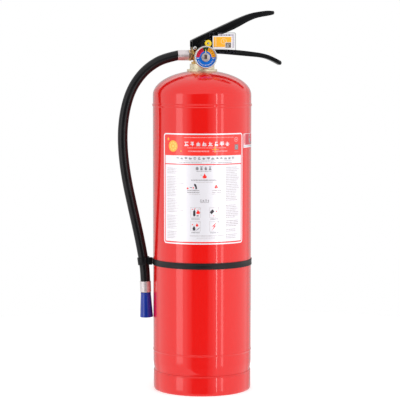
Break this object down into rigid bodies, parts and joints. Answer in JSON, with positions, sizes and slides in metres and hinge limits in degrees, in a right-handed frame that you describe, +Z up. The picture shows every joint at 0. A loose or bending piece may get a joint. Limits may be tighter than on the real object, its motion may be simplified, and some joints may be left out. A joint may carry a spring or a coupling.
{
  "type": "portable fire extinguisher",
  "caption": "Hand-held stored-pressure powder extinguisher: round cylinder with foot ring, squeeze-lever valve, gauge, safety pin and a clipped side hose with a cone nozzle.",
  "frame": {"origin": "centre of the cylinder's axis on the floor it stands on", "axes": "+Z up the cylinder's axis; +X along the lever and carry handle towards their free ends; -Y is the front, where the gauge faces; the hose leaves towards -X"},
  "size_m": [0.2678, 0.1626, 0.6174],
  "materials": {
    "red_paint": "glossy",
    "zinc_steel": "satin",
    "seal_rubber": "matte",
    "brass": "satin",
    "spring_steel": "bright",
    "white_plastic": "satin",
    "dry_powder": "matte",
    "black_enamel": "satin",
    "yellow_plastic": "glossy",
    "plated_rim": "polished",
    "gauge_glass": "polished",
    "dial_print": "satin",
    "pointer_paint": "satin",
    "hose_rubber": "semi-gloss",
    "blue_plastic": "glossy",
    "black_plastic": "satin",
    "label_foil": "glossy",
    "clear_vinyl": "clear, glossy",
    "printed_card": "matte"
  },
  "bodies": {
    "root": {"cylinder_tube": "red_paint", "top_dome": "red_paint", "bottom_head": "red_paint", "base_skirt": "red_paint", "upper_weld_bead": "red_paint", "lower_weld_bead": "red_paint", "skirt_weld": "red_paint", "neck_ring": "zinc_steel", "neck_seal": "seal_rubber", "valve_body": "brass", "gland_nut": "brass", "stem_o_ring": "seal_rubber", "siphon_adapter": "white_plastic", "dip_tube": "white_plastic", "powder_charge": "dry_powder", "carry_handle": "black_enamel", "pivot_rivet": "spring_steel", "handle_rivet": "spring_steel", "pin_seal": "yellow_plastic", "gauge_stem": "brass", "gauge_case": "plated_rim", "gauge_bezel": "plated_rim", "gauge_lens": "gauge_glass", "gauge_dial": "dial_print", "bourdon_tube": "brass", "port_washer": "seal_rubber", "hose_fitting": "brass", "hose_ferrule": "plated_rim", "hose": "hose_rubber", "nozzle_ferrule": "plated_rim", "nozzle_insert": "brass", "nozzle": "blue_plastic", "strap_band": "black_plastic", "hose_clip": "black_plastic", "strap_latch": "black_plastic", "main_label": "label_foil", "side_label": "label_foil", "tag_pocket": "clear_vinyl", "tag_card": "printed_card", "tag_back_card": "printed_card", "tag_pad": "clear_vinyl"},
    "lever": {"squeeze_lever": "black_enamel"},
    "stem": {"valve_stem": "brass", "stem_seal": "seal_rubber", "seal_retainer": "brass", "valve_spring": "spring_steel"},
    "pointer": {"pointer_hub": "plated_rim", "gauge_pointer": "pointer_paint"},
    "pin": {"safety_pin": "spring_steel"},
    "ring": {"pull_ring": "spring_steel"}
  },
  "joints": [
    {"name": "lever_pivot", "type": "hinge", "parent": "root", "child": "lever", "pos_m": [-0.0134, 0, 0.5566], "axis": [0, 1, 0], "range_deg": [0, 16], "stiffness_Nm_per_rad": 0.6, "springref_deg": -28.65},
    {"name": "stem_slide", "type": "slide", "parent": "root", "child": "stem", "axis": [0, 0, 1], "range_m": [-0.0056, 0], "deforming": ["valve_spring"]},
    {"name": "pointer_turn", "type": "hinge", "parent": "root", "child": "pointer", "pos_m": [0, 0, 0.542], "axis": [0, 1, 0], "range_deg": [-88, 75], "stiffness_Nm_per_rad": 0.0002},
    {"name": "pin_pull", "type": "slide", "parent": "root", "child": "pin", "axis": [0, 1, 0], "range_m": [0, 0.045]},
    {"name": "ring_swing", "type": "hinge", "parent": "pin", "child": "ring", "pos_m": [0.0075, 0.0183, 0.5642], "axis": [1, 0, 0], "range_deg": [0, 100]}
  ],
  "couplings": [
    {"joint": "stem_slide", "follows": "lever_pivot", "m_per_rad": -0.0195}
  ]
}
